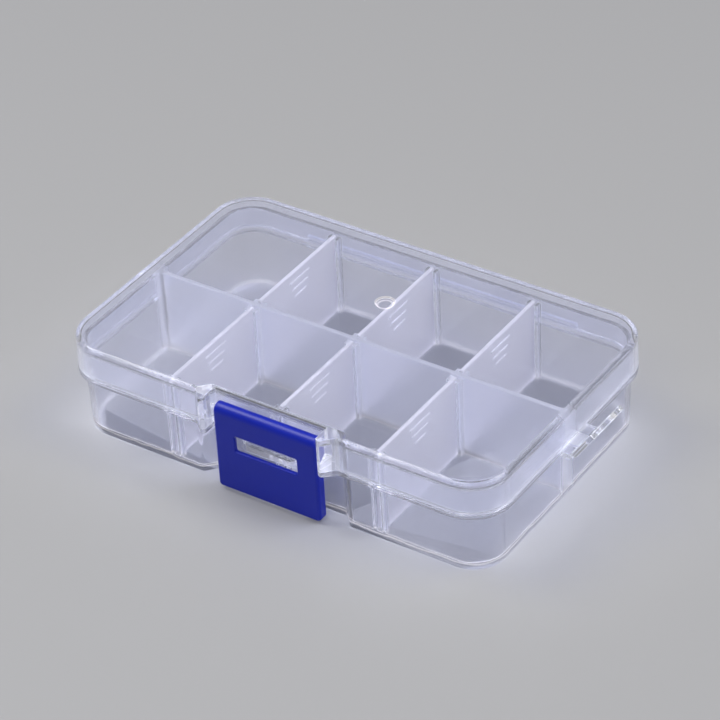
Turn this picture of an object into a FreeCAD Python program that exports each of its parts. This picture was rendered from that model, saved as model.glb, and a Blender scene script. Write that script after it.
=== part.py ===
import FreeCAD, Part
import math
import os
import Sketcher
from types import SimpleNamespace

# Hinged craft organizer box: a clear tray with a fixed centre wall and six lift-out dividers,
# a clear lid, a flip latch that turns on stub pins of the lid's two ears, and a folding hang tab.
# Frame: millimetres, +X to the right along the box, +Y to the back, +Z up.
# The origin is the centre of the underside of the tray.

SIZES = {
    # Lid, measured at the foot of its skirt
    "lid_length": 108.9,
    "lid_width": 68.7,
    "box_height": 24.3,
    "corner_radius": 9.5,
    "skirt_height": 8.2,
    "lid_wall": 1.0,
    "lid_top": 1.2,
    "lid_draft": 0.9,
    "lid_edge_round": 1.0,
    "lid_inner_round": 0.5,
    "lid_foot_round": 0.25,
    "gate_mark_radius": 2.1,
    "gate_mark_depth": 0.3,
    "gate_mark_round": 0.2,
    "gate_mark_back": 12.0,
    # Recess in the lid's front, with an ear on each side
    "recess_width": 28.5,
    "recess_depth": 2.55,
    "ear_reach": 2.45,
    "ear_root_width": 3.7,
    "ear_tip_width": 1.05,
    "ear_tip_slope": 0.5,
    "ear_wall": 1.6,
    "ear_round": 0.4,
    "ear_scoop_edge": 1.4,
    "ear_scoop_setback": 0.35,
    "ear_scoop_rise": 2.4,
    # Tray
    "parting_gap": 0.1,
    "flange_height": 1.26,
    "flange_round": 0.3,
    "flange_ear_tip_round": 0.45,
    "flange_ear_root_round": 2.0,
    "base_inset": 1.86,
    "base_draft": 1.0,
    "base_wall": 1.2,
    "base_corner_radius": 7.7,
    "base_bottom_round": 0.8,
    "recess_corner_round": 1.0,
    "floor_thickness": 1.4,
    "floor_round": 0.4,
    "cavity_corner_round": 0.8,
    "rim_gap": 1.5,
    "rim_round": 0.35,
    "recess_clearance": 0.65,
    "centre_wall": 1.2,
    # Dividers and the ribs that guide them
    "divider_thickness": 1.0,
    "divider_play": 0.15,
    "divider_end_play": 0.3,
    "divider_drop": 0.1,
    "divider_foot_chamfer": 1.2,
    "divider_round": 0.3,
    "rib_width": 0.85,
    "rib_depth": 1.3,
    "rib_drop": 0.6,
    "mark_length": 7.4,
    "mark_shorten": 1.5,
    "mark_width": 0.5,
    "mark_pitch": 2.05,
    "mark_height": 0.2,
    "mark_drop": 2.0,
    "ejector_radius": 1.6,
    "ejector_depth": 0.15,
    "ejector_offset": 7.5,
    # Latch and the tongue that holds it
    "latch_side_gap": 1.15,
    "latch_wall_gap": 0.3,
    "latch_depth": 2.8,
    "latch_top_drop": 2.35,
    "latch_bottom": 0.6,
    "latch_head": 3.1,
    "latch_panel": 0.85,
    "latch_side_wall": 0.9,
    "latch_corner_round": 1.0,
    "latch_roll_radius": 1.9,
    "latch_crest_radius": 0.85,
    "latch_edge_round": 0.7,
    "pivot_drop": 1.2,
    "pivot_inset": 1.3,
    "pin_radius": 0.45,
    "pin_reach": 1.0,
    "pin_root": 0.5,
    "pin_clearance": 0.12,
    "pin_end_clearance": 0.3,
    "slot_width": 15.9,
    "slot_below": 0.45,
    "slot_above": 1.7,
    "slot_round": 0.5,
    "slot_rim_round": 0.3,
    "catch_width": 14.2,
    "catch_height": 1.9,
    "catch_drop": 0.99,
    "catch_taper": 1.5,
    "catch_taper_depth": 0.7,
    "catch_gap": 0.15,
    "catch_chamfer": 0.5,
    # Living hinges of the lid and the hang tab
    "hinge_length": 70.8,
    "hinge_reach": 0.85,
    "hinge_lip": 0.85,
    "tab_ledge_width": 11.0,
    "tab_ledge_reach": 2.75,
    "tab_width": 10.5,
    "tab_length": 13.1,
    "tab_thickness": 1.2,
    "tab_end_flat": 0.1,
    "tab_hole_radius": 2.55,
    "tab_hole_distance": 7.9,
    "tab_tilt": 56.0,
    # How far a cut runs past the face that it opens
    "cut_overrun": 1.0,
}

CELLS_PER_ROW = 4
MARK_ROWS = 3
TOLERANCE_SHARE = 1e-4


class Measure:
    """A size with its sheet expression, so that sums of sizes stay bound to the sheet."""

    def __init__(self, text, value):
        self.text = text
        self.value = value

    def __add__(self, other):
        return Measure(f"({self.text} + {other.text})", self.value + other.value)

    def __sub__(self, other):
        return Measure(f"({self.text} - {other.text})", self.value - other.value)

    def __mul__(self, other):
        return Measure(f"{self.text} * {other.text}", self.value * other.value)

    def __truediv__(self, count):
        return Measure(f"({self.text} / {count})", self.value / count)

    def __rmul__(self, count):
        return Measure(f"{count} * {self.text}", count * self.value)

    def __neg__(self):
        return Measure(f"(-1 * {self.text})", -self.value)


def slope(angle):
    """Sideways run per unit of height of a face drafted by this angle."""
    return Measure(f"tan({angle.text} * 1 deg)", math.tan(math.radians(angle.value)))


ZERO = Measure("0", 0.0)
# Mitred offset of a 45 degree corner, per unit of offset
MITRE = Measure("tan(22.5 deg)", math.tan(math.radians(22.5)))

box = SimpleNamespace(**{name: Measure(f"Sizes.{name}", value) for name, value in SIZES.items()})

# Levels
lid_foot = box.box_height - box.skirt_height
flange_top = lid_foot - box.parting_gap
flange_bottom = flange_top - box.flange_height
lid_underside = box.box_height - box.lid_top
rim = lid_underside - box.rim_gap
divider_top = rim - box.divider_drop
rib_top = rim - box.rib_drop
catch_top = flange_bottom - box.catch_drop
catch_bottom = catch_top - box.catch_height
hinge_z = lid_foot - box.parting_gap / 2
latch_top = box.box_height - box.latch_top_drop
pivot_z = latch_top - box.pivot_drop
fold_z = flange_bottom + box.tab_thickness / 2

# Half sizes and front-to-back places
lid_half_x = box.lid_length / 2
lid_half_y = box.lid_width / 2
base_half_x = lid_half_x - box.base_inset
base_half_y = lid_half_y - box.base_inset
rim_spread = rim * slope(box.base_draft)
rim_inner_x = base_half_x + rim_spread - box.base_wall
rim_inner_y = base_half_y + rim_spread - box.base_wall
floor_spread = box.floor_thickness * slope(box.base_draft)
floor_inner_y = base_half_y + floor_spread - box.base_wall
recess_half = box.recess_width / 2
recess_wall_y = lid_half_y - box.recess_depth
recess_inner_y = recess_wall_y - box.lid_wall
recess_inner_half = recess_half + box.ear_wall
rim_recess_y = recess_inner_y - box.recess_clearance
rim_recess_half = recess_inner_half + box.recess_clearance * MITRE
base_recess_y = rim_recess_y - rim_spread
base_recess_half = rim_recess_half + rim_spread * MITRE
floor_recess_y = base_recess_y + floor_spread - box.base_wall
centre_half = box.centre_wall / 2
centre_foot_half = centre_half + rim_spread - floor_spread
divider_pitch = (2 * rim_inner_x + box.divider_thickness) / CELLS_PER_ROW
latch_back = recess_wall_y + box.latch_wall_gap
latch_front = latch_back + box.latch_depth
latch_panel_back = latch_front - box.latch_panel
latch_half = recess_half - box.latch_side_gap
pivot_y = latch_back + box.pivot_inset
catch_front = latch_panel_back - box.catch_gap
hinge_y = lid_half_y + box.hinge_reach
fold_x = lid_half_x + box.tab_ledge_reach

doc = FreeCAD.newDocument("organizer_box")


def add_sheet():
    """Writes every driving size to the sheet under its own alias."""
    sheet = doc.addObject("Spreadsheet::Sheet", "Sizes")
    for row, (name, value) in enumerate(SIZES.items(), start=1):
        sheet.set(f"A{row}", name)
        sheet.set(f"B{row}", str(value))
        sheet.setAlias(f"B{row}", name)
    doc.recompute()


def add_body(label):
    body = doc.addObject("PartDesign::Body", label)
    body.Label = label
    return body


def add_sketch(body, name, role, height=ZERO):
    """A sketch on one of the body's own origin planes, raised along the plane's normal."""
    sketch = body.newObject("Sketcher::SketchObject", name)
    plane = next(feature for feature in body.Origin.OriginFeatures if feature.Role == role)
    sketch.AttachmentSupport = [(plane, "")]
    sketch.MapMode = "FlatFace"
    sketch.setExpression("AttachmentOffset.Base.z", height.text)
    return sketch


def bind_point(sketch, geometry, position, across, up):
    """Ties one point of the sketch to two measures from the sketch's origin."""
    for kind, measure in (("DistanceX", across), ("DistanceY", up)):
        constraint = Sketcher.Constraint(kind, -1, 1, geometry, position, measure.value)
        index = sketch.addConstraint(constraint)
        sketch.setExpression(f"Constraints[{index}]", measure.text)


def add_polygon(sketch, points):
    """A closed outline through points that are pairs of measures."""
    places = [FreeCAD.Vector(across.value, up.value, 0) for across, up in points]
    count = len(points)
    first = sketch.GeometryCount
    for index in range(count):
        line = Part.LineSegment(places[index], places[(index + 1) % count])
        sketch.addGeometry(line, False)
    for index in range(count):
        following = first + (index + 1) % count
        sketch.addConstraint(Sketcher.Constraint("Coincident", first + index, 2, following, 1))
    for index, (across, up) in enumerate(points):
        bind_point(sketch, first + index, 1, across, up)


def add_rectangle(sketch, left, right, low, high):
    add_polygon(sketch, [(left, low), (right, low), (right, high), (left, high)])


def add_circle(sketch, across, up, radius):
    centre = FreeCAD.Vector(across.value, up.value, 0)
    circle = Part.Circle(centre, FreeCAD.Vector(0, 0, 1), radius.value)
    geometry = sketch.addGeometry(circle, False)
    bind_point(sketch, geometry, 3, across, up)
    index = sketch.addConstraint(Sketcher.Constraint("Radius", geometry, radius.value))
    sketch.setExpression(f"Constraints[{index}]", radius.text)


def extrude(kind, body, sketch, length, taper, symmetric, backward):
    feature = body.newObject(f"PartDesign::{kind}", f"{sketch.Name}_{kind}")
    feature.Profile = sketch
    feature.setExpression("Length", length.text)
    feature.SideType = "Symmetric" if symmetric else "One side"
    feature.Reversed = backward
    if taper is not None:
        feature.setExpression("TaperAngle", taper.text)
    doc.recompute()
    return feature


def pad(body, sketch, length, taper=None, symmetric=False):
    """Adds the sketch's outline, along the normal or on both sides of its plane."""
    return extrude("Pad", body, sketch, length, taper, symmetric, False)


def pocket(body, sketch, length, taper=None, symmetric=False, along_normal=False):
    """Cuts the sketch's outline away and makes sure that something was cut."""
    before = body.Shape.Volume
    feature = extrude("Pocket", body, sketch, length, taper, symmetric, along_normal)
    if feature.Shape.Volume >= before:
        raise RuntimeError(f"{sketch.Name} cut nothing")
    return feature


def dress(kind, size_property, body, name, size, test):
    """Rounds or bevels the edges of the body so far that pass the test."""
    base = body.Tip
    names = [f"Edge{number}" for number, edge in enumerate(base.Shape.Edges, start=1) if test(edge)]
    if not names:
        raise RuntimeError(f"{name} found no edge")
    feature = body.newObject(f"PartDesign::{kind}", name)
    feature.Base = (base, names)
    feature.setExpression(size_property, size.text)
    doc.recompute()
    return feature


def fillet(body, name, radius, test):
    return dress("Fillet", "Radius", body, name, radius, test)


def chamfer(body, name, size, test):
    return dress("Chamfer", "Size", body, name, size, test)


def near(value, measure):
    return abs(value - measure.value) < TOLERANCE_SHARE * SIZES["lid_length"]


def spans(edge, low, high):
    """True for an edge that climbs from one level to another."""
    return near(edge.BoundBox.ZMin, low) and near(edge.BoundBox.ZMax, high)


def lies_at(edge, level):
    return spans(edge, level, level)


def is_circle(edge, radius):
    return edge.Curve.TypeId == "Part::GeomCircle" and near(edge.Curve.Radius, radius)


def on_lid_outline(edge):
    """True for the straight sides and round corners of the outline that lid and flange share."""
    place = edge.CenterOfMass
    on_side = near(abs(place.x), lid_half_x) or near(abs(place.y), lid_half_y)
    return on_side or is_circle(edge, box.corner_radius)


def mirrored_outline(half):
    """Completes an outline that is given for positive X by its mirror image."""
    return half + [(-across, up) for across, up in reversed(half)]


def front_recess_points(half_x, half_y, recess_half_x, recess_y):
    """Right half of a rectangle whose front has a recess with 45 degree sides."""
    side_x = recess_half_x + half_y - recess_y
    return [(recess_half_x, -recess_y), (side_x, -half_y), (half_x, -half_y), (half_x, half_y)]


def ear_points(inner_y):
    """Right ear in plan, from the front wall round the tip to the ear's inner face."""
    tip_y = lid_half_y + box.ear_reach
    return [
        (recess_half + box.ear_root_width, -inner_y),
        (recess_half + box.ear_tip_width, -tip_y),
        (recess_half, -(tip_y - box.ear_tip_slope)),
    ]


def at_ear_tip(edge):
    """True for an edge at the outer end of an ear of the lid or the flange."""
    return edge.CenterOfMass.y < -(lid_half_y + box.ear_reach / 2).value


def build_tray_block(body):
    """Drafted block with the front recess, and the flange plate with its ears, still solid."""
    sketch = add_sketch(body, "TrayOutline", "XY_Plane")
    half = front_recess_points(base_half_x, base_half_y, base_recess_half, base_recess_y)
    add_polygon(sketch, mirrored_outline(half))
    pad(body, sketch, rim, taper=box.base_draft)
    flange = add_sketch(body, "FlangeOutline", "XY_Plane", flange_bottom)
    right = [(recess_half, -recess_wall_y)] + ear_points(lid_half_y)[::-1]
    right += [(lid_half_x, -lid_half_y), (lid_half_x, lid_half_y)]
    add_polygon(flange, mirrored_outline(right))
    pad(body, flange, box.flange_height)


def hollow_tray(body):
    """Two cavities, with the fixed centre wall left between them."""
    depth = rim - box.floor_thickness
    back = add_sketch(body, "BackCavity", "XY_Plane", rim)
    add_rectangle(back, -rim_inner_x, rim_inner_x, centre_half, rim_inner_y)
    pocket(body, back, depth, taper=-box.base_draft)
    front = add_sketch(body, "FrontCavity", "XY_Plane", rim)
    wall_mitre = box.base_wall * MITRE
    half = front_recess_points(rim_inner_x, rim_inner_y, rim_recess_half + wall_mitre,
                               rim_recess_y - box.base_wall)
    half[-1] = (rim_inner_x, -centre_half)
    add_polygon(front, mirrored_outline(half))
    pocket(body, front, depth, taper=-box.base_draft)
    fillet(body, "CavitySmallCorners", box.cavity_corner_round,
           lambda edge: spans(edge, box.floor_thickness, rim) and not in_tray_corner(edge))
    fillet(body, "CavityCorners", box.base_corner_radius - box.base_wall,
           lambda edge: spans(edge, box.floor_thickness, rim) and in_tray_corner(edge))
    fillet(body, "FloorRound", box.floor_round, lambda edge: lies_at(edge, box.floor_thickness))


def in_tray_corner(edge):
    """True for an edge in the zone of one of the tray's four large corners."""
    place = edge.CenterOfMass
    corner_x = rim_inner_x - box.base_corner_radius
    corner_y = rim_inner_y - box.base_corner_radius
    return abs(place.x) > corner_x.value and abs(place.y) > corner_y.value


def round_tray(body):
    """Large outer corners of the tray and its flange, the recess's corners and the bottom edge."""
    def outer_upright(edge):
        return spans(edge, ZERO, flange_bottom) or spans(edge, flange_top, rim)

    def outside_cavity(edge):
        return abs(edge.CenterOfMass.x) > rim_inner_x.value

    fillet(body, "TrayCorners", box.base_corner_radius,
           lambda edge: outer_upright(edge) and in_tray_corner(edge) and outside_cavity(edge))
    fillet(body, "FlangeCorners", box.corner_radius,
           lambda edge: spans(edge, flange_bottom, flange_top) and near(abs(edge.CenterOfMass.x), lid_half_x))
    fillet(body, "TrayRecessCorners", box.recess_corner_round,
           lambda edge: outer_upright(edge) and abs(edge.CenterOfMass.x) < lid_half_x.value / 2)
    fillet(body, "FlangeEarTips", box.flange_ear_tip_round,
           lambda edge: spans(edge, flange_bottom, flange_top) and at_ear_tip(edge))
    fillet(body, "FlangeEarRoots", box.flange_ear_root_round,
           lambda edge: spans(edge, flange_bottom, flange_top) and near(edge.CenterOfMass.y, -lid_half_y)
           and abs(edge.CenterOfMass.x) < lid_half_x.value / 2)
    fillet(body, "TrayBottomRound", box.base_bottom_round, lambda edge: lies_at(edge, ZERO))
    fillet(body, "RimRound", box.rim_round, lambda edge: lies_at(edge, rim))
    fillet(body, "FlangeRound", box.flange_round,
           lambda edge: (lies_at(edge, flange_bottom) or lies_at(edge, flange_top)) and on_lid_outline(edge))


def add_rib_pairs(body):
    """Guide ribs on both sides of each divider's ends, on all four faces that it meets."""
    inner = box.divider_thickness / 2 + box.divider_play
    outer = inner + box.rib_width
    for name, column in (("Left", -divider_pitch), ("Middle", ZERO), ("Right", divider_pitch)):
        front_face = floor_recess_y if name == "Middle" else floor_inner_y
        spans_y = [
            (floor_inner_y - box.rib_depth, floor_inner_y + box.base_wall / 2),
            (-(centre_foot_half + box.rib_depth), centre_foot_half + box.rib_depth),
            (-(front_face + box.base_wall / 2), -(front_face - box.rib_depth)),
        ]
        sketch = add_sketch(body, f"Ribs{name}", "XY_Plane", box.floor_thickness)
        for low, high in spans_y:
            add_rectangle(sketch, column - outer, column - inner, low, high)
            add_rectangle(sketch, column + inner, column + outer, low, high)
        pad(body, sketch, rib_top - box.floor_thickness)


def add_catch(body):
    """Tongue on the recess wall that the latch's slot goes round."""
    half = box.catch_width / 2
    front_half = half - box.catch_taper
    root_y = base_recess_y - box.base_wall / 2
    shoulder_y = catch_front - box.catch_taper_depth
    sketch = add_sketch(body, "CatchOutline", "XY_Plane", catch_bottom)
    add_polygon(sketch, mirrored_outline([(front_half, -catch_front), (half, -shoulder_y), (half, -root_y)]))
    pad(body, sketch, box.catch_height)
    chamfer(body, "CatchNose", box.catch_chamfer,
            lambda edge: lies_at(edge, catch_top) and near(edge.CenterOfMass.y, -catch_front))


def add_tray_lips(body):
    """Lower half of the lid's living hinge and the ledge that carries the hang tab."""
    hinge_half = box.hinge_length / 2
    lip = add_sketch(body, "BaseHingeLip", "XY_Plane", hinge_z - box.hinge_lip)
    add_rectangle(lip, -hinge_half, hinge_half, lid_half_y, hinge_y)
    pad(body, lip, box.hinge_lip)
    half = box.tab_thickness / 2
    ledge = add_sketch(body, "TabLedge", "XZ_Plane")
    add_polygon(ledge, [
        (lid_half_x, fold_z - half),
        (fold_x - half, fold_z - half),
        (fold_x, fold_z),
        (fold_x - half, fold_z + half),
        (lid_half_x, fold_z + half),
    ])
    pad(body, ledge, box.tab_ledge_width, symmetric=True)


def build_base_tray():
    body = add_body("base_tray")
    build_tray_block(body)
    hollow_tray(body)
    round_tray(body)
    add_rib_pairs(body)
    add_catch(body)
    add_tray_lips(body)


def build_lid():
    body = add_body("lid")
    sketch = add_sketch(body, "LidOutline", "XY_Plane", lid_foot)
    add_rectangle(sketch, -lid_half_x, lid_half_x, -lid_half_y, lid_half_y)
    pad(body, sketch, box.skirt_height, taper=-box.lid_draft)
    cavity = add_sketch(body, "LidCavity", "XY_Plane", lid_foot)
    inner_x = lid_half_x - box.lid_wall
    inner_y = lid_half_y - box.lid_wall
    add_rectangle(cavity, -inner_x, inner_x, -inner_y, inner_y)
    pocket(body, cavity, box.skirt_height - box.lid_top, taper=-box.lid_draft, along_normal=True)
    fillet(body, "LidCavityCorners", box.corner_radius - box.lid_wall,
           lambda edge: spans(edge, lid_foot, lid_underside))
    fillet(body, "LidCavityRound", box.lid_inner_round, lambda edge: lies_at(edge, lid_underside))
    fillet(body, "LidCorners", box.corner_radius, lambda edge: spans(edge, lid_foot, box.box_height))
    fillet(body, "LidTopRound", box.lid_edge_round, lambda edge: lies_at(edge, box.box_height))
    fillet(body, "LidFootRound", box.lid_foot_round,
           lambda edge: lies_at(edge, lid_foot) and on_lid_outline(edge))
    add_lid_front(body)
    add_lid_details(body)


def add_lid_front(body):
    """Ears and recess wall: a block on the front, with the recess cut between the ears."""
    mid_wall_y = lid_half_y - box.lid_wall / 2
    block = add_sketch(body, "EarBlock", "XY_Plane", lid_foot)
    half = ear_points(mid_wall_y)[::-1]
    half += [(recess_inner_half + mid_wall_y - recess_inner_y, -mid_wall_y)]
    half += [(recess_inner_half, -recess_inner_y)]
    add_polygon(block, mirrored_outline(half))
    pad(body, block, box.skirt_height)
    recess = add_sketch(body, "LidRecess", "XY_Plane", lid_foot)
    front = lid_half_y + box.ear_reach + box.cut_overrun
    add_rectangle(recess, -recess_half, recess_half, -front, -recess_wall_y)
    pocket(body, recess, box.skirt_height + box.cut_overrun, along_normal=True)
    fillet(body, "EarTips", box.ear_round,
           lambda edge: spans(edge, lid_foot, box.box_height) and at_ear_tip(edge))
    scoop_low = lid_foot + box.ear_scoop_edge
    scoop_high = box.box_height - box.ear_scoop_edge
    scoop_root = -(lid_half_y + box.ear_scoop_setback)
    scoop_face = recess_half + box.ear_tip_width
    for side, face, outward in (("Right", scoop_face, True), ("Left", -scoop_face, False)):
        scoop = add_sketch(body, f"EarScoop{side}", "YZ_Plane", face)
        add_polygon(scoop, [(-front, scoop_low), (scoop_root, scoop_low + box.ear_scoop_rise),
                            (scoop_root, scoop_high), (-front, scoop_high)])
        pocket(body, scoop, box.ear_root_width, along_normal=outward)
    pin_tip = latch_half - box.pin_reach
    pin_root = recess_half + box.pin_root
    for side, start in (("Right", pin_tip), ("Left", -pin_root)):
        pin = add_sketch(body, f"EarPin{side}", "YZ_Plane", start)
        add_circle(pin, -pivot_y, pivot_z, box.pin_radius)
        pad(body, pin, pin_root - pin_tip)


def add_lid_details(body):
    """Moulding mark on the top and the upper half of the living hinge."""
    mark = add_sketch(body, "GateMark", "XY_Plane", box.box_height)
    add_circle(mark, ZERO, box.gate_mark_back, box.gate_mark_radius)
    pocket(body, mark, box.gate_mark_depth)
    fillet(body, "GateMarkRim", box.gate_mark_round,
           lambda edge: lies_at(edge, box.box_height) and is_circle(edge, box.gate_mark_radius))
    hinge_half = box.hinge_length / 2
    lip = add_sketch(body, "LidHingeLip", "XY_Plane", hinge_z)
    add_rectangle(lip, -hinge_half, hinge_half, lid_half_y - box.lid_wall / 2, hinge_y)
    pad(body, lip, box.hinge_lip)


def build_latch():
    """Flip latch: a shell with a rolled top, open at the back, with a slot and two pivot holes."""
    body = add_body("latch")
    latch_width = 2 * latch_half
    shell = add_sketch(body, "LatchShell", "YZ_Plane")
    add_rectangle(shell, -latch_front, -latch_back, box.latch_bottom, latch_top)
    pad(body, shell, latch_width, symmetric=True)
    round_latch(body)
    hollow = add_sketch(body, "LatchHollow", "YZ_Plane")
    add_rectangle(hollow, -latch_panel_back, -(latch_back - box.cut_overrun),
                  box.latch_bottom - box.cut_overrun, latch_top - box.latch_head)
    pocket(body, hollow, latch_width - 2 * box.latch_side_wall, symmetric=True)
    for side, face, outward in (("Right", latch_half, False), ("Left", -latch_half, True)):
        hole = add_sketch(body, f"PivotHole{side}", "YZ_Plane", face)
        add_circle(hole, -pivot_y, pivot_z, box.pin_radius + box.pin_clearance)
        pocket(body, hole, box.pin_reach + box.pin_end_clearance, along_normal=outward)
    cut_latch_slot(body)


def round_latch(body):
    """Lower corners, rolled top and crest of the latch, then the edge that runs round its face and ends."""
    fillet(body, "LatchCorners", box.latch_corner_round,
           lambda edge: lies_at(edge, box.latch_bottom) and near(abs(edge.CenterOfMass.x), latch_half))
    fillet(body, "LatchRoll", box.latch_roll_radius,
           lambda edge: lies_at(edge, latch_top) and near(edge.CenterOfMass.y, -latch_front))
    fillet(body, "LatchCrest", box.latch_crest_radius,
           lambda edge: lies_at(edge, latch_top) and near(edge.CenterOfMass.y, -latch_back))
    fillet(body, "LatchEdges", box.latch_edge_round,
           lambda edge: spans(edge, box.latch_bottom + box.latch_corner_round, latch_top - box.latch_roll_radius)
           and near(edge.CenterOfMass.y, -latch_front))


def cut_latch_slot(body):
    """Slot that goes round the tray's tongue, with a rounded rim on the face."""
    slot = add_sketch(body, "LatchSlot", "XZ_Plane", latch_front)
    slot_half = box.slot_width / 2
    slot_low = catch_bottom - box.slot_below
    slot_high = catch_top + box.slot_above
    add_rectangle(slot, -slot_half, slot_half, slot_low, slot_high)
    pocket(body, slot, box.latch_panel + box.cut_overrun)
    fillet(body, "SlotCorners", box.slot_round,
           lambda edge: near(abs(edge.CenterOfMass.x), slot_half)
           and near(edge.BoundBox.YLength, box.latch_panel))
    fillet(body, "SlotRim", box.slot_rim_round,
           lambda edge: lies_at(edge, slot_low) and near(edge.CenterOfMass.y, -latch_front))


def build_divider(label, column, near_y, far_y):
    """Plate between the centre wall and an outer wall, with plain moulded marks on its right face."""
    body = add_body(label)
    cut = box.divider_foot_chamfer
    plate = add_sketch(body, f"{label}_plate", "YZ_Plane")
    add_polygon(plate, [
        (near_y + cut, box.floor_thickness),
        (far_y - cut, box.floor_thickness),
        (far_y, box.floor_thickness + cut),
        (far_y, divider_top),
        (near_y, divider_top),
        (near_y, box.floor_thickness + cut),
    ])
    pad(body, plate, box.divider_thickness, symmetric=True)
    fillet(body, f"{label}_round", box.divider_round,
           lambda edge: lies_at(edge, divider_top) and edge.Length > box.divider_thickness.value * 2)
    face = box.divider_thickness / 2
    middle = (near_y + far_y) / 2
    marks = add_sketch(body, f"{label}_marks", "YZ_Plane", face)
    for row in range(MARK_ROWS):
        high = divider_top - box.mark_drop - row * box.mark_pitch
        half_length = (box.mark_length - row * box.mark_shorten) / 2
        add_rectangle(marks, middle - half_length, middle + half_length, high - box.mark_width, high)
    pad(body, marks, box.mark_height)
    ejector = add_sketch(body, f"{label}_ejector", "YZ_Plane", face)
    add_circle(ejector, middle - box.ejector_offset, (divider_top + box.floor_thickness) / 2,
               box.ejector_radius)
    pocket(body, ejector, box.ejector_depth)
    body.setExpression("Placement.Base.x", column.text)


def build_dividers():
    near_y = centre_foot_half + box.divider_end_play
    far_y = floor_inner_y - box.divider_end_play
    recess_far_y = floor_recess_y - box.divider_end_play
    for side, column in (("left", -divider_pitch), ("middle", ZERO), ("right", divider_pitch)):
        build_divider(f"divider_back_{side}", column, near_y, far_y)
        front_y = recess_far_y if side == "middle" else far_y
        build_divider(f"divider_front_{side}", column, -front_y, -near_y)


def build_hang_tab():
    """Flat loop that tapers to its fold line, modelled flat and then tilted to its resting angle."""
    body = add_body("hang_tab")
    half = box.tab_thickness / 2
    side = add_sketch(body, "TabSide", "XZ_Plane")
    add_polygon(side, [
        (ZERO, ZERO),
        (half, -half),
        (box.tab_length, -half),
        (box.tab_length, half),
        (half, half),
    ])
    pad(body, side, box.tab_width, symmetric=True)
    fillet(body, "TabEnd", (box.tab_width - box.tab_end_flat) / 2,
           lambda edge: near(edge.CenterOfMass.x, box.tab_length) and spans(edge, -half, half))
    hole = add_sketch(body, "TabHole", "XY_Plane")
    add_circle(hole, box.tab_hole_distance, ZERO, box.tab_hole_radius)
    pocket(body, hole, box.tab_thickness + box.cut_overrun, symmetric=True)
    body.Placement = FreeCAD.Placement(
        FreeCAD.Vector(fold_x.value, 0, fold_z.value),
        FreeCAD.Rotation(FreeCAD.Vector(0, -1, 0), box.tab_tilt.value),
    )
    body.setExpression("Placement.Base.x", fold_x.text)
    body.setExpression("Placement.Base.z", fold_z.text)
    body.setExpression("Placement.Rotation.Angle", box.tab_tilt.text)


def check_document():
    """Stops before anything is written if an object failed or a shape is empty or broken."""
    doc.recompute()
    for item in doc.Objects:
        if "Invalid" in item.State or "Error" in item.State:
            raise RuntimeError(f"{item.Label} failed: {item.State}")
    for body in doc.findObjects("PartDesign::Body"):
        if body.Shape.isNull() or not body.Shape.isValid() or len(body.Shape.Solids) != 1:
            raise RuntimeError(f"{body.Label} has no single valid solid")


def write_parts():
    os.makedirs("parts", exist_ok=True)
    for body in doc.findObjects("PartDesign::Body"):
        body.Shape.exportStep(f"parts/{body.Label}.step")
        size = body.Shape.optimalBoundingBox(False)
        print(f"{body.Label}: x {size.XMin:.2f} to {size.XMax:.2f}, y {size.YMin:.2f} to {size.YMax:.2f}, "
              f"z {size.ZMin:.2f} to {size.ZMax:.2f}, volume {body.Shape.Volume:.1f}")


add_sheet()
build_base_tray()
build_lid()
build_latch()
build_dividers()
build_hang_tab()
check_document()
write_parts()
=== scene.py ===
# %% [markdown]
# # A clear organizer box for beads and pins
# The object is a small box of clear moulded plastic: a tray with a fixed middle wall, six lift-out
# dividers, a hinged lid, a blue flip latch and a folding hang tab. Its shapes come ready made from the
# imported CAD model, so this lesson is about plastic: how clear, frosted and coloured mouldings differ,
# and how light brings that out.

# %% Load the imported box
import bmesh
import bpy
import math
from mathutils import Matrix, Vector

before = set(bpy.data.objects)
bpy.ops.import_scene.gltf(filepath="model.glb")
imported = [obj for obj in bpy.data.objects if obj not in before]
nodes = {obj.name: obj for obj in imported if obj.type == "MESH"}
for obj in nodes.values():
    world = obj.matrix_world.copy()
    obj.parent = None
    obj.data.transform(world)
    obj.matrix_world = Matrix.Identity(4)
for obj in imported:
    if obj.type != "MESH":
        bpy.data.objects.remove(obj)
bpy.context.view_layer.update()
MM = 0.001
print("pieces:", ", ".join(sorted(nodes)))

# %% [markdown]
# ## Small helpers for shader nodes
# A material is a little graph of nodes. Making a node and joining two sockets are the same two steps
# every time, so they get a short function each. A node group is built the same way, with its own named
# inputs and outputs, and can then be placed in any material.

# %% Node helpers
def add_node(tree, kind, **values):
    node = tree.nodes.new(kind)
    for name, value in values.items():
        setattr(node, name, value)
    return node


def join(tree, source, socket):
    """Links an output to an input socket, or sets the input to a plain value."""
    if isinstance(source, bpy.types.NodeSocket):
        tree.links.new(source, socket)
    else:
        socket.default_value = source


def feed(tree, node, **sources):
    """Joins a source to each named input. A name has _ in place of each space."""
    for name, source in sources.items():
        join(tree, source, node.inputs[name.replace("_", " ")])
    return node


def calculate(tree, operation, first, second=0.0, clamp=False):
    node = add_node(tree, "ShaderNodeMath", operation=operation, use_clamp=clamp)
    join(tree, first, node.inputs[0])
    join(tree, second, node.inputs[1])
    return node.outputs[0]


def noise(tree, position, cell, detail):
    """Soft noise of 0 to 1 whose cells are this many metres wide, as a number or as a socket."""
    cells_per_metre = calculate(tree, "DIVIDE", 1.0, cell)
    node = add_node(tree, "ShaderNodeTexNoise")
    feed(tree, node, Vector=position, Scale=cells_per_metre, Detail=detail)
    return node.outputs["Fac"]


def blend_colours(tree, factor, first, second):
    node = add_node(tree, "ShaderNodeMix", data_type="RGBA")
    colour_inputs = [s for s in node.inputs if s.type == "RGBA"]
    for source, socket in zip((factor, first, second), (node.inputs[0], *colour_inputs)):
        join(tree, source, socket)
    return next(s for s in node.outputs if s.type == "RGBA")


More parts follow.
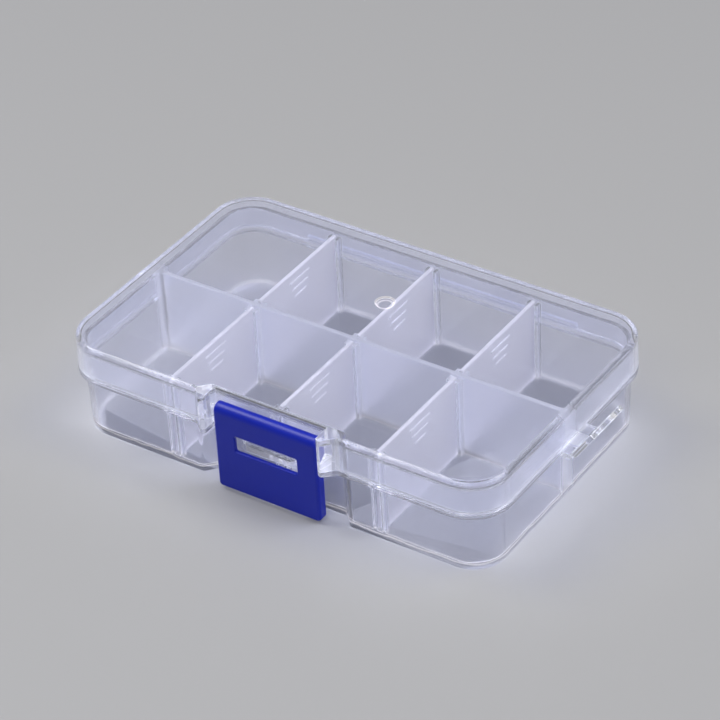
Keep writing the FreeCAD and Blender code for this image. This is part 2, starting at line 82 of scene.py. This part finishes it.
def object_place(tree):
    """The place of the shaded point on the piece, in metres, as a vector and as its x, y and z."""
    place = add_node(tree, "ShaderNodeTexCoord").outputs["Object"]
    split = feed(tree, add_node(tree, "ShaderNodeSeparateXYZ"), Vector=place)
    return place, split.outputs


def spread(tree, value, low, high):
    """Stretches a value of 0 to 1 over the range low to high."""
    node = feed(tree, add_node(tree, "ShaderNodeMapRange"), Value=value, To_Min=low, To_Max=high)
    return node.outputs[0]


def new_group(name, inputs, outputs):
    """An empty shader node group: inputs are {name: default}, outputs {name: socket type}."""
    group = bpy.data.node_groups.new(name, "ShaderNodeTree")
    for label, default in inputs.items():
        socket = group.interface.new_socket(label, in_out="INPUT", socket_type="NodeSocketFloat")
        socket.default_value = default
    for label, kind in outputs.items():
        group.interface.new_socket(label, in_out="OUTPUT", socket_type=kind)
    return group, group.nodes.new("NodeGroupInput"), group.nodes.new("NodeGroupOutput")


def place_group(tree, group, **values):
    node = add_node(tree, "ShaderNodeGroup", node_tree=group)
    return feed(tree, node, **values)


# %% [markdown]
# ## The skin of a moulding
# Molten plastic leaves slow waves where it flowed, and the polished steel of the mould leaves a fine
# grain on top of them. Both are only a few hundredths of a millimetre deep, but a clear wall shows
# them as wavering reflections. One group puts out both: a height for a Bump node, and a haze that
# says where the skin is a little rougher. A third output marks hairline scuffs from handling: noise that
# is stretched forty times along one slanted direction and cut off near its top turns into thin streaks.
# Noise on Object coordinates needs no unwrapping.

# %% Group: moulded skin
skin_group, skin_in, skin_out = new_group(
    "moulded_skin",
    {"Wave Size": 8.0, "Wave Depth": 0.5, "Grain Size": 0.3, "Grain Depth": 0.1},
    {"Height": "NodeSocketFloat", "Haze": "NodeSocketFloat", "Scuff": "NodeSocketFloat"},
)
HAZE_PATCH = 14.0 * MM
SCUFF_WIDTH = 0.7 * MM
SCUFF_STRETCH = 40.0
SCUFF_SLANT = math.radians(24)
SCUFF_LEVEL, SCUFF_GAIN = 0.66, 12.0
skin_place, _ = object_place(skin_group)
wave_cell = calculate(skin_group, "MULTIPLY", skin_in.outputs["Wave Size"], MM)
grain_cell = calculate(skin_group, "MULTIPLY", skin_in.outputs["Grain Size"], MM)
waves = noise(skin_group, skin_place, wave_cell, 1.0)
grain = noise(skin_group, skin_place, grain_cell, 3.0)
wave_height = calculate(skin_group, "MULTIPLY", waves, skin_in.outputs["Wave Depth"])
grain_height = calculate(skin_group, "MULTIPLY", grain, skin_in.outputs["Grain Depth"])
slanted = feed(skin_group, add_node(skin_group, "ShaderNodeMapping"), Vector=skin_place,
               Rotation=(0.0, 0.0, SCUFF_SLANT), Scale=(1.0 / SCUFF_STRETCH, 1.0, 1.0))
streaks = noise(skin_group, slanted.outputs[0], SCUFF_WIDTH, 1.0)
streak_tops = calculate(skin_group, "SUBTRACT", streaks, SCUFF_LEVEL)
feed(skin_group, skin_out,
     Height=calculate(skin_group, "ADD", wave_height, grain_height),
     Haze=noise(skin_group, skin_place, HAZE_PATCH, 3.0),
     Scuff=calculate(skin_group, "MULTIPLY", streak_tops, SCUFF_GAIN, clamp=True))
print("moulded_skin puts out", [s.name for s in skin_group.interface.items_tree if s.in_out == "OUTPUT"])

# %% [markdown]
# ## Edges with a painted highlight
# Clear plastic carries light along inside its walls and lets it out where a wall ends, so rims and
# corners look bright. Here that light is painted: a Bevel node gives the normal that a rounded edge would
# have. Where that differs from the true normal there is an edge, and the difference is a ready mask, with
# no texture painting, along which the clear plastic paints a cool glow into its emission. The latch uses
# the same mask for its rubbed edges.

# %% Group: bright edge
edge_group, edge_in, edge_out = new_group(
    "bright_edge", {"Width": 0.5, "Gain": 3.0}, {"Edge": "NodeSocketFloat"})
rounded = add_node(edge_group, "ShaderNodeBevel", samples=8)
feed(edge_group, rounded, Radius=calculate(edge_group, "MULTIPLY", edge_in.outputs["Width"], MM))
true_normal = add_node(edge_group, "ShaderNodeNewGeometry").outputs["Normal"]
agreement = add_node(edge_group, "ShaderNodeVectorMath", operation="DOT_PRODUCT")
join(edge_group, rounded.outputs[0], agreement.inputs[0])
join(edge_group, true_normal, agreement.inputs[1])
difference = calculate(edge_group, "SUBTRACT", 1.0, agreement.outputs["Value"])
edge_mask = calculate(edge_group, "MULTIPLY", difference, edge_in.outputs["Gain"], clamp=True)
feed(edge_group, edge_out, Edge=edge_mask)
print("bright_edge is built")

# %% [markdown]
# ## Painted highlight lines at the feet
# Where a wall or a divider stands on the floor of the tray, its rounded foot gathers light into a thin,
# uneven, warm white line. That light is painted: a band of height, pushed up and down by a slow noise,
# glows in the emission. Only faces that stand upright take it, so the flat floor at the same height stays
# dark.

# %% Group: foot line
SWAY_LENGTH = 4.0 * MM
SWAY_HEIGHT_MM = 0.9
STEEPEST_FLOOR = 0.8
foot_group, foot_in, foot_out = new_group(
    "painted_foot_highlight", {"Height": 1.7, "Width": 0.3}, {"Line": "NodeSocketFloat"})
foot_place, foot_xyz = object_place(foot_group)
foot_normal = add_node(foot_group, "ShaderNodeTexCoord").outputs["Normal"]
normal_xyz = feed(foot_group, add_node(foot_group, "ShaderNodeSeparateXYZ"), Vector=foot_normal).outputs
height_mm = calculate(foot_group, "DIVIDE", foot_xyz["Z"], MM)
sway = calculate(foot_group, "SUBTRACT", noise(foot_group, foot_place, SWAY_LENGTH, 1.0), 0.5)
sway_mm = calculate(foot_group, "MULTIPLY", sway, SWAY_HEIGHT_MM)
line_level = calculate(foot_group, "ADD", foot_in.outputs["Height"], sway_mm)
away_mm = calculate(foot_group, "ABSOLUTE", calculate(foot_group, "SUBTRACT", height_mm, line_level))
away_widths = calculate(foot_group, "DIVIDE", away_mm, foot_in.outputs["Width"])
near_line = calculate(foot_group, "SUBTRACT", 1.0, away_widths, clamp=True)
steepness = calculate(foot_group, "ABSOLUTE", normal_xyz["Z"])
upright = calculate(foot_group, "LESS_THAN", steepness, STEEPEST_FLOOR)
feed(foot_group, foot_out, Line=calculate(foot_group, "MULTIPLY", near_line, upright))
print("painted_foot_highlight is built")


# %% [markdown]
# ## Clear plastic
# The lid, the tray and the tab are one plastic: see-through, a little milky, slightly blue. A
# Principled shader with most of its weight on transmission gives the clearness, and what is left
# scatters like milk. Lamps can't shine through a refracting wall without a great deal of work, so rays
# that only ask whether a lamp is hidden meet a Transparent shader in place of the plastic. The tray's
# fixed middle wall and the lid's skirt came out of the mould matt, while the lid's top is polished, so a
# mask on a zone makes it rougher, and also paints a faint glow into its emission there: painted light that
# makes it look paler. The dividers are the same plastic with a matt face: less
# clear, rougher, with a visible fine grain.

# %% Recipe: clear and frosted plastic
WARM_GLOW = (1.0, 0.93, 0.90, 1)
COOL_EDGE_GLOW = (0.88, 0.92, 1.0, 1)
FOOT_WIDTH_MM = 0.32
RING_CENTRE = Vector((0.0, 12.0, 24.3)) * MM
RING_HALF_WIDTH = 0.22 * MM
BUMP_DEPTH = 0.1 * MM
CLEAR_IOR = 1.49


def matt_and_glow_zone(tree, half_mm, low_mm, high_mm):
    """1 within half_mm of the middle plane and between two heights, where the mould was left matt and
    where a painted glow goes.
    """
    _, xyz = object_place(tree)
    close = calculate(tree, "LESS_THAN", calculate(tree, "ABSOLUTE", xyz["Y"]), half_mm * MM)
    above = calculate(tree, "GREATER_THAN", xyz["Z"], low_mm * MM)
    below = calculate(tree, "LESS_THAN", xyz["Z"], high_mm * MM)
    return calculate(tree, "MULTIPLY", close, calculate(tree, "MULTIPLY", above, below))


def painted_ring_highlight(tree, radius_mm):
    """1 on a thin ring on the top of the lid, around the scar where the plastic entered the mould: a
    painted highlight goes there.
    """
    place, _ = object_place(tree)
    from_centre = add_node(tree, "ShaderNodeVectorMath", operation="DISTANCE")
    join(tree, place, from_centre.inputs[0])
    join(tree, RING_CENTRE, from_centre.inputs[1])
    off_ring = calculate(tree, "SUBTRACT", from_centre.outputs["Value"], radius_mm * MM)
    return calculate(tree, "LESS_THAN", calculate(tree, "ABSOLUTE", off_ring), RING_HALF_WIDTH)


def skin_bump(tree, skin):
    bump = add_node(tree, "ShaderNodeBump")
    feed(tree, bump, Height=skin.outputs["Height"], Strength=1.0, Distance=BUMP_DEPTH)
    return bump.outputs[0]


def let_lamps_through(tree, shader, shade):
    """Swaps the plastic for a tinted pane wherever a ray only asks whether a lamp is hidden."""
    lamp_rays = add_node(tree, "ShaderNodeLightPath").outputs["Is Shadow Ray"]
    pane = feed(tree, add_node(tree, "ShaderNodeBsdfTransparent"), Color=shade)
    choice = add_node(tree, "ShaderNodeMixShader")
    for source, socket in zip((lamp_rays, shader.outputs[0], pane.outputs[0]), choice.inputs):
        join(tree, source, socket)
    join(tree, choice.outputs[0], tree.nodes["Material Output"].inputs["Surface"])


def clear_moulding(name, look):
    material = bpy.data.materials.new(name)
    material.use_nodes = True
    tree = material.node_tree
    shader = tree.nodes["Principled BSDF"]
    skin = place_group(tree, skin_group, Wave_Size=look["wave_size"], Wave_Depth=look["wave_depth"],
                       Grain_Size=look["grain_size"], Grain_Depth=look["grain_depth"])
    edge = place_group(tree, edge_group, Width=look["edge_width"], Gain=look["edge_gain"])
    paler = [c + (1.0 - c) * 0.35 for c in look["tint"]]
    milk = blend_colours(tree, skin.outputs["Haze"], (*look["tint"], 1), (*paler, 1))
    roughness = spread(tree, skin.outputs["Haze"], *look["roughness"])
    light = (0, 0, 0, 1)
    if "scuff" in look:
        scuffs = calculate(tree, "MULTIPLY", skin.outputs["Scuff"], look["scuff"])
        roughness = calculate(tree, "ADD", roughness, scuffs)
    if "matt_and_glow_zone" in look:
        zone = matt_and_glow_zone(tree, *look["matt_and_glow_zone"])
        frost = calculate(tree, "MULTIPLY", zone, look["frost"])
        roughness = calculate(tree, "MAXIMUM", roughness, frost)
        # Painted light: a faint glow in the emission over the matt zone, so it looks paler.
        light = blend_colours(tree, zone, light, look["painted_glow"])
    # Painted highlight: a cool glow along every edge, from the Bevel mask.
    light = blend_colours(tree, edge.outputs["Edge"], light, COOL_EDGE_GLOW)
    if "ring" in look:
        # Painted highlight: a warm glowing ring around the lid's gate scar.
        light = blend_colours(tree, painted_ring_highlight(tree, look["ring"]), light, WARM_GLOW)
    if "foot_height" in look:
        foot = place_group(tree, foot_group, Height=look["foot_height"], Width=FOOT_WIDTH_MM)
        # Painted highlight: a warm glowing line along the feet of walls and dividers.
        light = blend_colours(tree, foot.outputs["Line"], light, WARM_GLOW)
    feed(tree, shader, Base_Color=milk, Roughness=roughness, Normal=skin_bump(tree, skin),
         Emission_Color=light, Emission_Strength=look["glow"],
         Transmission_Weight=look["clearness"], IOR=CLEAR_IOR)
    let_lamps_through(tree, shader, look["shade"])
    return material


print("clear_moulding is ready")

# %% [markdown]
# ## Four mouldings from one recipe
# One dictionary holds the look of plain clear plastic, with sizes in millimetres. Each piece copies it
# and says only what differs: the lid has a painted highlight on its scar ring, its scuffs and a matt skirt
# with a painted glow, the tray has painted foot lines and a matt wall with a painted glow, and the
# dividers are frosted all over, with painted foot lines too.

# %% Looks of the clear pieces
clear_look = {
    "tint": (0.86, 0.87, 0.95), "shade": (0.85, 0.86, 0.91, 1),
    "clearness": 0.95, "roughness": (0.03, 0.09),
    "wave_size": 16.0, "wave_depth": 0.3, "grain_size": 0.6, "grain_depth": 0.004,
    "edge_width": 0.45, "edge_gain": 3.0, "glow": 0.34,
}
lid_look = dict(
    clear_look, matt_and_glow_zone=(100.0, 0.0, 22.6), frost=0.15, painted_glow=(0.14, 0.145, 0.175, 1),
    edge_gain=2.4, ring=2.1, scuff=0.10)
tray_look = dict(
    clear_look, clearness=0.94, roughness=(0.08, 0.17), wave_size=9.0, wave_depth=0.8,
    matt_and_glow_zone=(2.2, 1.6, 100.0), frost=0.34, painted_glow=(0.17, 0.175, 0.21, 1), foot_height=1.75)
divider_look = dict(
    clear_look, tint=(0.85, 0.84, 0.895), shade=(0.80, 0.81, 0.85, 1),
    clearness=0.60, roughness=(0.29, 0.40),
    wave_size=5.0, wave_depth=0.5, grain_size=0.35, grain_depth=0.02,
    edge_width=0.4, edge_gain=0.8, foot_height=1.9)
lid_plastic = clear_moulding("lid_plastic", lid_look)
tab_plastic = clear_moulding("tab_plastic", dict(clear_look, clearness=0.93))
tray_plastic = clear_moulding("tray_plastic", tray_look)
divider_plastic = clear_moulding("divider_plastic", divider_look)
print("clear materials:", lid_plastic.name, tray_plastic.name, tab_plastic.name, divider_plastic.name)


# %% [markdown]
# ## Blue latch plastic
# The latch is a solid dark blue, satin moulding. It needs no transmission: a deep base colour, a soft
# roughness that changes a little over the face, and paler edges where fingers have rubbed it.

# %% Material: latch plastic
DEEP_BLUE, FRESH_BLUE, RUBBED_BLUE = (0.002, 0.012, 0.34, 1), (0.004, 0.018, 0.42, 1), (0.03, 0.06, 0.5, 1)
RUBBED_SHARE = 0.3
SATIN = (0.29, 0.38)
LATCH_SCUFF = 0.15


def latch_finish():
    material = bpy.data.materials.new("latch_plastic")
    material.use_nodes = True
    tree = material.node_tree
    shader = tree.nodes["Principled BSDF"]
    skin = place_group(tree, skin_group, Wave_Size=6.0, Wave_Depth=0.3, Grain_Size=0.25, Grain_Depth=0.03)
    edge = place_group(tree, edge_group, Width=0.35, Gain=3.0)
    body = blend_colours(tree, skin.outputs["Haze"], DEEP_BLUE, FRESH_BLUE)
    wear = calculate(tree, "MULTIPLY", edge.outputs["Edge"], RUBBED_SHARE)
    rubbed = blend_colours(tree, wear, body, RUBBED_BLUE)
    scuffs = calculate(tree, "MULTIPLY", skin.outputs["Scuff"], LATCH_SCUFF)
    roughness = calculate(tree, "ADD", spread(tree, skin.outputs["Haze"], *SATIN), scuffs)
    feed(tree, shader, Base_Color=rubbed, Roughness=roughness, Normal=skin_bump(tree, skin), IOR=1.5,
         Specular_IOR_Level=0.35)
    return material


latch_plastic = latch_finish()
print("made", latch_plastic.name)

# %% [markdown]
# ## Dress the pieces
# A piece from the CAD model keeps its mesh, and only its material changes. Clearing the list of
# materials and adding one is enough, because each piece is moulded from one plastic.

# %% Dress the pieces
finishes = {"lid": lid_plastic, "base_tray": tray_plastic, "hang_tab": tab_plastic, "latch": latch_plastic}
for name, node in nodes.items():
    node.data.materials.clear()
    node.data.materials.append(finishes.get(name, divider_plastic))
    print(name, "is finished in", node.data.materials[0].name)

# %% [markdown]
# ## Studio floor
# A clear box shows whatever is around it, so the studio stays plain. The floor is one large disc, made
# by a bmesh operator, pale grey so that both the bright rims and the dark refractions read on it.

# %% Floor
FLOOR_RADIUS = 4.0
floor_mesh = bpy.data.meshes.new("studio_floor")
disc = bmesh.new()
bmesh.ops.create_circle(disc, cap_ends=True, segments=96, radius=FLOOR_RADIUS)
disc.to_mesh(floor_mesh)
disc.free()
studio_floor = bpy.data.objects.new("studio_floor", floor_mesh)
bpy.context.scene.collection.objects.link(studio_floor)
floor_finish = bpy.data.materials.new("studio_floor")
floor_finish.use_nodes = True
floor_shader = floor_finish.node_tree.nodes["Principled BSDF"]
floor_shader.inputs["Base Color"].default_value = (0.41, 0.41, 0.42, 1)
floor_shader.inputs["Roughness"].default_value = 0.5
floor_mesh.materials.append(floor_finish)
print("floor radius in metres:", FLOOR_RADIUS)

# %% [markdown]
# ## Lamps and sky
# Three soft lamps, left, right and in front, draw a bright line on every rounded rim. They hang high: the
# top of the lid is a mirror at a low angle, and a low lamp would turn it white from the far side. A dim,
# even sky fills the shadows, and the Standard view keeps the pale plastic as bright as it is lit.

# %% Lamps and sky
LAMP_AIM = Vector((0, 0, 0.01))


def soft_lamp(name, place, size, power):
    lamp = bpy.data.lights.new(name, "AREA")
    lamp.shape = "RECTANGLE"
    lamp.size, lamp.size_y = size
    lamp.energy = power
    holder = bpy.data.objects.new(name, lamp)
    holder.location = place
    holder.rotation_euler = (LAMP_AIM - Vector(place)).to_track_quat("-Z", "Y").to_euler()
    bpy.context.scene.collection.objects.link(holder)


soft_lamp("left_softbox", (-0.55, -0.15, 0.85), (0.5, 0.5), 5.39)
soft_lamp("right_softbox", (0.5, 0.28, 0.85), (0.45, 0.45), 4.66)
soft_lamp("front_softbox", (0.1, -0.72, 0.78), (0.5, 0.35), 2.70)
sky = bpy.data.worlds.new("studio_sky")
sky.use_nodes = True
sky_light = sky.node_tree.nodes["Background"]
sky_light.inputs["Color"].default_value = (0.96, 0.965, 1.0, 1)
sky_light.inputs["Strength"].default_value = 0.20
bpy.context.scene.world = sky
bpy.context.scene.view_settings.view_transform = "Standard"

# %% [markdown]
# ## Camera
# The camera repeats the view of the box from its front right, above: a long lens from a short distance
# away, turned, raised and slightly rolled. Three perpendicular directions make up its rotation.

# %% Camera
VIEW_TURN = math.radians(35.328)
VIEW_RISE = math.radians(35.796)
VIEW_ROLL = math.radians(-3.269)
AIM = Vector((-4.385, 7.537, 10.0)) * MM
DISTANCE = 709.90 * MM
toward_eye = Vector((math.sin(VIEW_TURN) * math.cos(VIEW_RISE),
                     -math.cos(VIEW_TURN) * math.cos(VIEW_RISE),
                     math.sin(VIEW_RISE)))
level_right = (-toward_eye).cross(Vector((0, 0, 1))).normalized()
level_up = level_right.cross(-toward_eye)
right = math.cos(VIEW_ROLL) * level_right + math.sin(VIEW_ROLL) * level_up
up = math.cos(VIEW_ROLL) * level_up - math.sin(VIEW_ROLL) * level_right
turn = Matrix((right, up, toward_eye)).transposed().to_4x4()
camera = bpy.data.objects.new("view_camera", bpy.data.cameras.new("view_camera"))
camera.data.sensor_width = 36.0
camera.data.lens = 161.64
camera.matrix_world = Matrix.Translation(AIM + DISTANCE * toward_eye) @ turn
bpy.context.scene.collection.objects.link(camera)
bpy.context.scene.camera = camera
print("camera stands at", [round(v, 3) for v in camera.matrix_world.translation])
